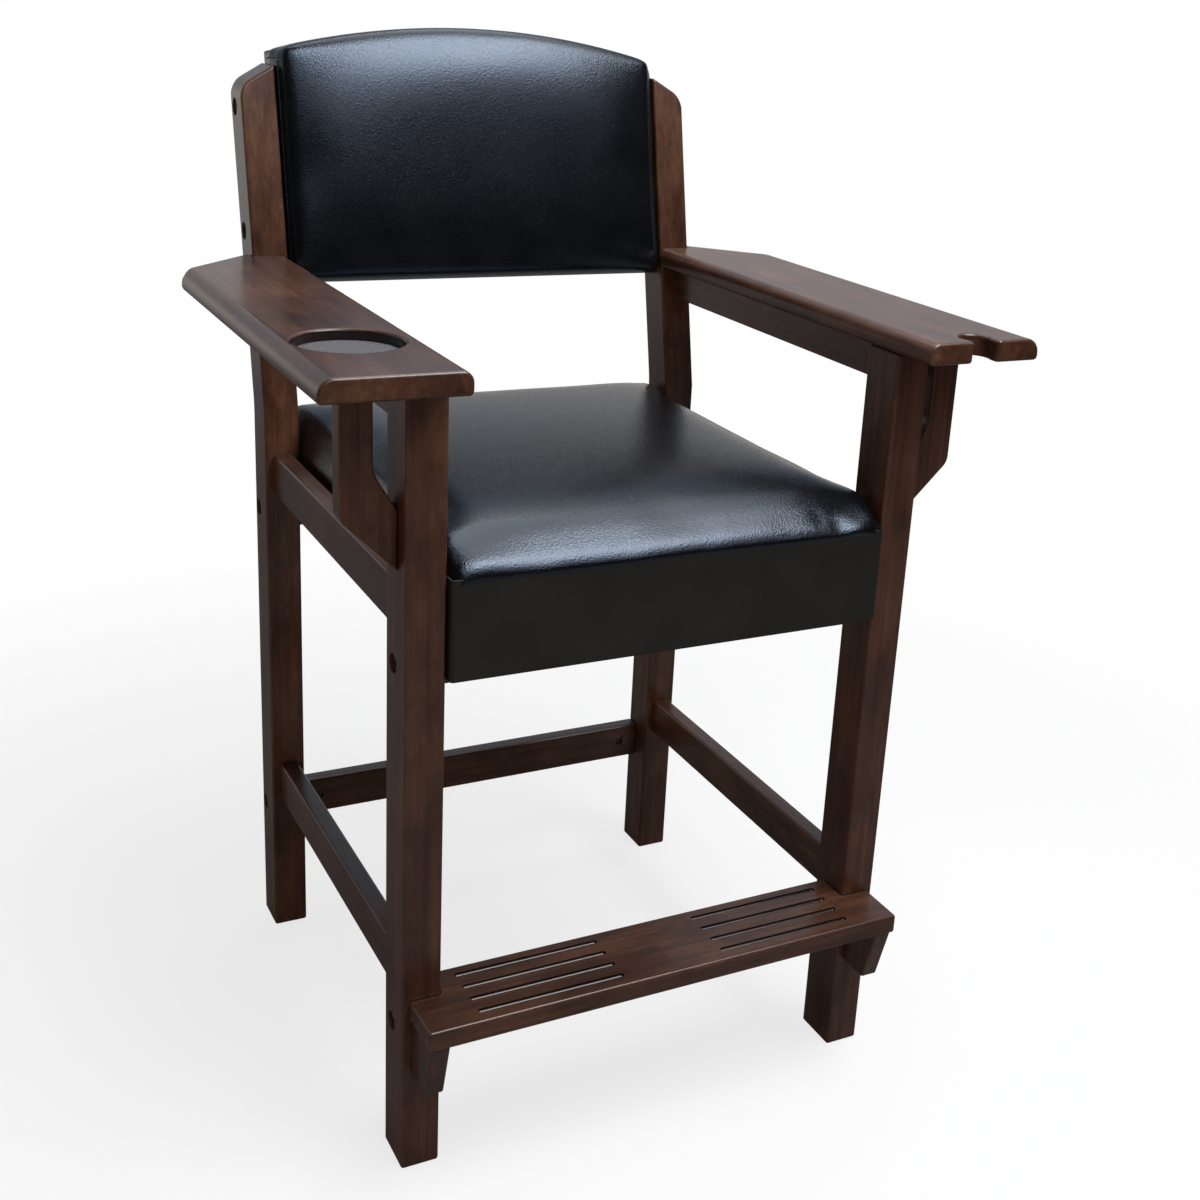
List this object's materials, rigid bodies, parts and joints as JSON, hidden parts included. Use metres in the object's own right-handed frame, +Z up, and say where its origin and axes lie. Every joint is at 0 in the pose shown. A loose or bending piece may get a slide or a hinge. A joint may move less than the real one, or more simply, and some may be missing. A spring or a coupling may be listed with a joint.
{
  "type": "billiard spectator chair",
  "caption": "High hardwood armchair with a footrest, a vinyl seat and back pad, a cup recess in one armrest and a cue notch in the other.",
  "frame": {"origin": "on the floor, at the centre of the chair's bounding box in plan", "axes": "+Z up; the chair faces -Y, so its back is towards +Y; +X is to the right of someone looking at its front"},
  "size_m": [0.748, 0.6904, 1.1047],
  "materials": {
    "espresso_wood": "satin lacquer over a dark espresso stain",
    "plywood": "bare birch plywood",
    "foam": "open-cell upholstery foam",
    "black_vinyl": "black upholstery vinyl with a fine pebble grain, low sheen",
    "grey_felt": "speckled grey felt",
    "dark_steel": "blackened steel"
  },
  "bodies": {
    "root": {"front_leg_left": "espresso_wood", "front_leg_right": "espresso_wood", "rear_post_left": "espresso_wood", "rear_post_right": "espresso_wood", "seat_side_rail_left": "espresso_wood", "seat_side_rail_right": "espresso_wood", "side_stretcher_left": "espresso_wood", "side_stretcher_right": "espresso_wood", "arm_rail_left": "espresso_wood", "arm_rail_right": "espresso_wood", "armrest_left": "espresso_wood", "armrest_right": "espresso_wood", "arm_bracket_left": "espresso_wood", "arm_bracket_right": "espresso_wood", "footrest_bracket_left": "espresso_wood", "footrest_bracket_right": "espresso_wood", "seat_front_rail": "espresso_wood", "seat_rear_rail": "espresso_wood", "front_stretcher": "espresso_wood", "rear_stretcher": "espresso_wood", "footrest_board": "espresso_wood", "seat_board": "plywood", "seat_front_panel": "plywood", "back_board": "plywood", "seat_foam": "foam", "back_foam": "foam", "seat_cover": "black_vinyl", "back_cover": "black_vinyl", "back_panel": "black_vinyl", "cup_pad": "grey_felt", "bolt_seat_front_rail_left": "dark_steel", "bolt_seat_front_rail_right": "dark_steel", "bolt_seat_rear_rail_left": "dark_steel", "bolt_seat_rear_rail_right": "dark_steel", "bolt_front_stretcher_left": "dark_steel", "bolt_front_stretcher_right": "dark_steel", "bolt_rear_stretcher_left": "dark_steel", "bolt_rear_stretcher_right": "dark_steel", "bolt_back_lower_left": "dark_steel", "bolt_back_lower_right": "dark_steel", "bolt_back_upper_left": "dark_steel", "bolt_back_upper_right": "dark_steel", "nut_seat_front_rail_left": "dark_steel", "nut_seat_front_rail_right": "dark_steel", "nut_seat_rear_rail_left": "dark_steel", "nut_seat_rear_rail_right": "dark_steel", "nut_front_stretcher_left": "dark_steel", "nut_front_stretcher_right": "dark_steel", "nut_rear_stretcher_left": "dark_steel", "nut_rear_stretcher_right": "dark_steel", "nut_back_lower_left": "dark_steel", "nut_back_lower_right": "dark_steel", "nut_back_upper_left": "dark_steel", "nut_back_upper_right": "dark_steel", "seat_front_rail_screw_left": "dark_steel", "seat_front_rail_screw_right": "dark_steel", "seat_rear_rail_screw_left": "dark_steel", "seat_rear_rail_screw_right": "dark_steel"}
  },
  "joints": []
}
